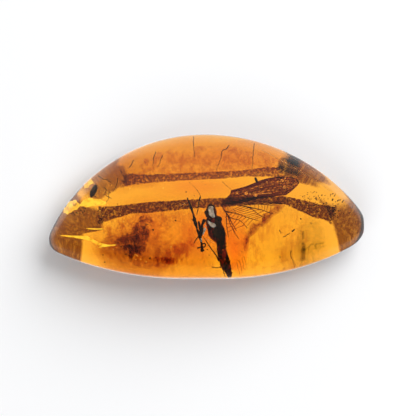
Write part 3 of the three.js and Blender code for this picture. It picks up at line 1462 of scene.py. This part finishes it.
def makePellets():
    finish = Finish("darkPellet")
    grain = finish.noise(2.0, detail=4)
    finish.set(
        BaseColor=finish.mix(*pelletColours, grain.ramp(0.45, 0.7)),
        Roughness=0.6,
    )
    rods = []
    for look in pellets.values():
        start, end = (inAmber(*point, look["depth"]) for point in look["ends"])
        girths = [look["girth"] * k for k in (0.45, 0.9, 1.0, 0.95, 1.0, 0.9, 0.45)]
        rods.append(spindle(start, end, girths))
    piece = joinPieces(rods, "pellets")
    soften(piece, 2)
    roughen(piece, size=0.4, strength=0.1)
    settle(piece, "pellets", finish)
    sealed(piece)


cracks = {
    "dark": {
        "colour": paint(0.05, 0.015, 0.006),
        "girth": 0.055,
        "depth": 3.2,
        "jitter": 0.10,
        "routes": [
            [(-1.79, 9.93), (-1.9, 8.93), (-1.71, 8.07), (-1.76, 6.93)],
            [(3.21, 8.64), (2.21, 7.79), (1.93, 6.5), (1.5, 5.21)],
            [(6.79, 8.93), (6.64, 7.79), (6.56, 6.64), (6.43, 5.36)],
            [(-7.36, 7.79), (-7.5, 6.93), (-7.64, 5.79)],
            [(-10.36, 6.64), (-10.79, 5.93), (-11.21, 5.36)],
            [(-12.64, 4.07), (-12.79, 3.21), (-13.36, 2.07)],
            [(-14.64, 2.79), (-14.21, 2.36), (-14.5, 1.79), (-13.93, 1.36), (-14.21, 0.64)],
            [(-13.79, 2.07), (-13.93, 1.5), (-13.5, 1.07)],
            [(-6.21, 7.36), (-6.64, 6.5), (-6.93, 5.64)],
            [(-15.36, 4.36), (-14.79, 3.93), (-14.07, 3.79), (-13.64, 3.36)],
            [(12, -6.36), (12.07, -7.07), (12.36, -7.93), (12.64, -8.79)],
            [(2.21, -8.79), (2.43, -9.36), (2.64, -10.07)],
            [(10.43, -3.36), (10.59, -3.93)],
        ],
    },
    "fine": {
        "colour": paint(0.16, 0.04, 0.012),
        "girth": 0.030,
        "depth": 3.0,
        "jitter": 0.05,
        "routes": [
            [(4.29, -7.93), (4.5, -8.79), (4.79, -9.64)],
            [(4.64, -7.64), (4.87, -8.5), (5.07, -9.36)],
            [(5.01, -7.29), (5.21, -8.07), (5.36, -8.93)],
            [(5.33, -7.07), (5.56, -7.79), (5.64, -8.36)],
            [(3.7, -0.21), (4.21, -0.93), (4.5, -1.79)],
            [(2.93, -0.07), (3.16, -0.93), (3.27, -1.79)],
            [(-3.07, -0.07), (-2.07, 0.41)],
            [(7.21, 2.64), (7.93, 3.36)],
            [(2.21, 3.5), (3.5, 2.43)],
            [(-8.93, -2.79), (-8.36, -2.5), (-7.93, -2.79)],
            [(-9.93, -3.64), (-9.21, -4.07), (-8.5, -3.79)],
            [(-11.21, -5.79), (-10.64, -6.21), (-10.5, -6.93)],
        ],
    },
    "pale": {
        "colour": paint(0.95, 0.85, 0.65),
        "girth": 0.030,
        "depth": 0.10,
        "jitter": 0.0,
        "routes": [
            [(7.93, 8.07), (11.93, 5.79), (15.07, 4.07), (17.64, 2.21)],
            [(8.79, 8.64), (13.36, 6.36), (17.36, 3.79)],
            [(-0.07, -4.5), (1.07, -5.21)],
            [(-3.79, 0.07), (-2.79, 0.57)],
        ],
    },
}


def wandering(route, depth, jitter):
    # the route in short steps, each a little off the line
    chance = random.Random(len(route) * 31 + int(route[0][0] * 10))
    places = []
    steps = 4 * (len(route) - 1)
    for i in range(steps + 1):
        place = (*pointAlong(route, i / steps), depth)
        places.append(inAmber(*(value + chance.uniform(-jitter, jitter) for value in place)))
    return places


def makeCracks():
    for name, look in cracks.items():
        finish = Finish(name + "Crack")
        finish.set(BaseColor=look["colour"], Roughness=0.6)
        routes = [wandering(route, look["depth"], look["jitter"]) for route in look["routes"]]
        piece = strand(name + "Cracks", routes, look["girth"])
        settle(piece, name + "Cracks", finish)
        sealed(piece)


# gold flakes in the resin: their emission is painted light, standing in for the light the flakes
# reflect
goldFlakes = {
    "depth": 2.4,
    "thickness": 0.05,
    "colour": paint(0.95, 0.75, 0.30),
    "glow": (paint(0.80, 0.62, 0.05), paint(0.95, 1.0, 0.20)),
    "glowStrength": 0.95,
    "fraying": 0.09,
    "sliverFraying": 0.02,
    "flakes": [
        [
            (-20.5, -0.93), (-20.21, 0.21), (-19.64, 0.79), (-18.64, 0.93), (-18.07, 0.36),
            (-18.36, -0.36), (-19.21, -0.64), (-19.79, -1.07),
        ],
        [
            (-18.21, 0.07), (-17.5, 0.93), (-16.36, 1.21), (-15.21, 1.07), (-14.21, 0.64),
            (-14.64, 0.07), (-15.79, 0.21), (-16.93, -0.07),
        ],
        [(-17.5, 3.64), (-16.64, 4.07), (-16.21, 3.5), (-16.93, 2.79), (-17.5, 2.64)],
    ],
    "slivers": [
        [
            (-20.93, -4.13), (-19.21, -4.16), (-17, -4.21), (-16.07, -4.73), (-15.3, -5.16),
            (-14.07, -5.44), (-12.79, -5.44), (-14.07, -5.67), (-15.5, -5.5), (-16.64, -4.84),
            (-18.93, -4.41),
        ],
        [(-17.21, -3.11), (-15.93, -3.14), (-14.5, -3.19), (-15.93, -3.29)],
    ],
}


def frayed(outline, jitter):
    # the outline with short steps between its points, each a little off the line
    chance = random.Random(len(outline) * 7)
    closed = outline + [outline[0]]
    steps = 4 * len(outline)
    return [
        [value + chance.uniform(-jitter, jitter) for value in pointAlong(closed, i / steps)]
        for i in range(steps)
    ]


def makeGoldFlakes():
    finish = Finish("goldFlake")
    grain = finish.noise(1.4, detail=5, roughness=0.7)
    finish.set(
        BaseColor=goldFlakes["colour"],
        Roughness=0.4,
        # painted light: the flakes shine by themselves
        EmissionColor=finish.mix(*goldFlakes["glow"], grain.ramp(0.40, 0.60)),
        EmissionStrength=goldFlakes["glowStrength"],
    )
    finish.film((grain + 0.1).ramp(0.40, 0.58), paint(1.0, 0.9, 0.6), 0.7)
    outlines = [frayed(outline, goldFlakes["fraying"]) for outline in goldFlakes["flakes"]]
    outlines += [frayed(outline, goldFlakes["sliverFraying"]) for outline in goldFlakes["slivers"]]
    flakes = [
        flake("goldFlake", outline, goldFlakes["depth"], goldFlakes["thickness"], 0)
        for outline in outlines
    ]
    piece = joinPieces(flakes, "goldFlakes")
    settle(piece, "goldFlakes", finish)
    sealed(piece)


scatter = {
    "specks": {
        "count": 240,
        "seed": 11,
        "girth": (0.03, 0.10),
        "depth": (1.0, 6.0),
        "centres": [((-17, -0.6), 2.2), ((17.5, 0.4), 2.0), ((15.4, 1.2), 1.2), ((0, -2), 8)],
        "colour": paint(0.03, 0.012, 0.006),
        "glow": paint(0, 0, 0),
        "strength": 0.0,
    },
    # tiny balls that shine by themselves: painted highlights
    "paintedGlints": {
        "count": 60,
        "seed": 4,
        "girth": (0.02, 0.08),
        "depth": (2.0, 5.0),
        "centres": [((-14, -0.6), 2.6), ((-15, 2), 2.0), ((-12, -7), 2.4), ((2, 0.5), 6)],
        "colour": paint(0.9, 0.7, 0.3),
        "glow": paint(0.9, 0.8, 0.2),
        "strength": 0.7,
    },
}
steepest = 0.6  # specks lie where the front's direction has at least this upward share


def scattered(look):
    # small balls, thickest at the given centres
    chance = random.Random(look["seed"])
    clearSelection()
    bpy.ops.mesh.primitive_ico_sphere_add(subdivisions=1, radius=mm)
    first = bpy.context.object
    balls = []
    for _ in range(look["count"]):
        (x, y), spread = chance.choice(look["centres"])
        place = (x + chance.gauss(0, spread), y + chance.gauss(0, spread * 0.45))
        start = stoneMiddle + Vector((*place, 20)) * mm
        normal = stoneTree.ray_cast(start, down)[1]
        if normal is None or normal.z < steepest:
            continue  # beside the stone, or too near its edge
        ball = duplicate(first)
        ball.location = inAmber(*place, chance.uniform(*look["depth"]))
        ball.scale = [chance.uniform(*look["girth"]) for _ in range(3)]
        balls.append(ball)
    bpy.data.objects.remove(first)
    return balls


def makeSpecks():
    for name, slot in (("specks", "dust"), ("paintedGlints", "film")):
        look = scatter[name]
        finish = Finish(name)
        finish.set(
            BaseColor=look["colour"],
            Roughness=0.6,
            # painted light for the shining balls; the dark specks get none
            EmissionColor=look["glow"],
            EmissionStrength=look["strength"],
        )
        piece = joinPieces(scattered(look), name)
        settle(piece, name, finish)
        sealed(piece)


makePellets()
makeCracks()
makeGoldFlakes()
makeSpecks()
print("small inclusions ready")

# floor, light and surroundings
studio = {
    "floorColour": paint(0.90, 0.905, 0.915),
    "floorGap": 0.15,  # mm below the stone, so that the two faces don't meet
    "keyPlace": (0.28, 0.30, 0.38),  # places and sizes of the lamps in metres, power in watts
    "keySize": 0.55,
    "keyPower": 3.3,
    "fillPlace": (-0.12, -0.34, 0.36),
    "fillSize": 0.5,
    "fillPower": 1.0,
    "below": 1.65,  # the light table, seen only through the stone
    "above": 0.30,
    "horizon": 0.42,
    "towardsBack": 0.32,  # how much brighter the room is behind the arched side
    "softbox": 0.05,
    "archedRim": 0.35,  # the glows that the polished sides mirror
    "tipRim": 0.95,
    "thinRim": 0.75,
}


def makeFloor():
    clearSelection()
    gap = studio["floorGap"] * mm
    bpy.ops.mesh.primitive_plane_add(size=4, location=(0, 0, stoneLow.z - gap))
    floor = bpy.context.object
    finish = Finish("paleFloor")
    finish.set(BaseColor=studio["floorColour"], Roughness=1.0, SpecularIORLevel=0.0)
    settle(floor, "floor", finish, smooth=False)
    floor.visible_transmission = False  # the stone is lit through from below, as on a light table
    floor.visible_glossy = False  # its polish mirrors the soft room and not the bare floor


def makeLamp(name):
    light = bpy.data.lights.new(name, "AREA")
    light.shape = "DISK"
    light.size = studio[name + "Size"]
    light.energy = studio[name + "Power"]
    light.cycles.use_multiple_importance_sampling = False
    lamp = bpy.data.objects.new(name, light)
    scene.collection.objects.link(lamp)
    lamp.location = studio[name + "Place"]
    lamp.rotation_euler = (-lamp.location).to_track_quat("-Z", "Y").to_euler()


def makeWorld():
    world = bpy.data.worlds.new("studio")
    scene.world = world
    world.use_nodes = True
    room = Nodes(world.node_tree)
    background = room.tree.nodes["Background"]
    way = room.node("ShaderNodeTexCoord").outputs["Generated"]
    split = room.node("ShaderNodeSeparateXYZ", inputs={0: way})
    sideways, backwards, up = (Value(room, socket) for socket in split.outputs)
    path = room.node("ShaderNodeLightPath")
    direct = 1 - Value(room, path.outputs["Diffuse Depth"]).above(0.5)
    through = Value(room, path.outputs["Transmission Depth"]).above(0.5)
    lowDown = 1 - up.ramp(-0.3, 0)
    # the light table below is only seen through the stone: it throws no glow on the floor
    table = lowDown * direct * through * (studio["below"] - studio["horizon"])
    upper = up.ramp(0, 0.5) * (studio["above"] - studio["horizon"])
    # the pale table mirrored in the polished rim along the arched side and at the tips
    archedGlow = backwards.ramp(0, 0.5) * studio["archedRim"]
    tipGlow = sideways.size().ramp(0.35, 0.8) * studio["tipRim"]
    thinGlow = (1 - up.ramp(-0.97, -0.75)) * studio["thinRim"]  # all round the stone's edge
    mirrored = lowDown * direct * (1 - through) * archedGlow.atLeast(tipGlow).atLeast(thinGlow)
    # a wide soft window of light behind and above the arched side
    window = (backwards * 0.8 + up * 0.55).ramp(0.62, 0.95) * studio["softbox"]
    ambient = studio["horizon"] + upper + backwards * studio["towardsBack"]
    room.feed(background.inputs["Strength"], ambient + table + mirrored + window)
    room.feed(background.inputs["Color"], paint(1, 1, 1))


makeFloor()
makeLamp("key")
makeLamp("fill")
makeWorld()
scene.view_settings.view_transform = "Standard"
scene.cycles.max_bounces = 24
scene.cycles.transmission_bounces = 24
scene.cycles.transparent_max_bounces = 48
print("studio ready")
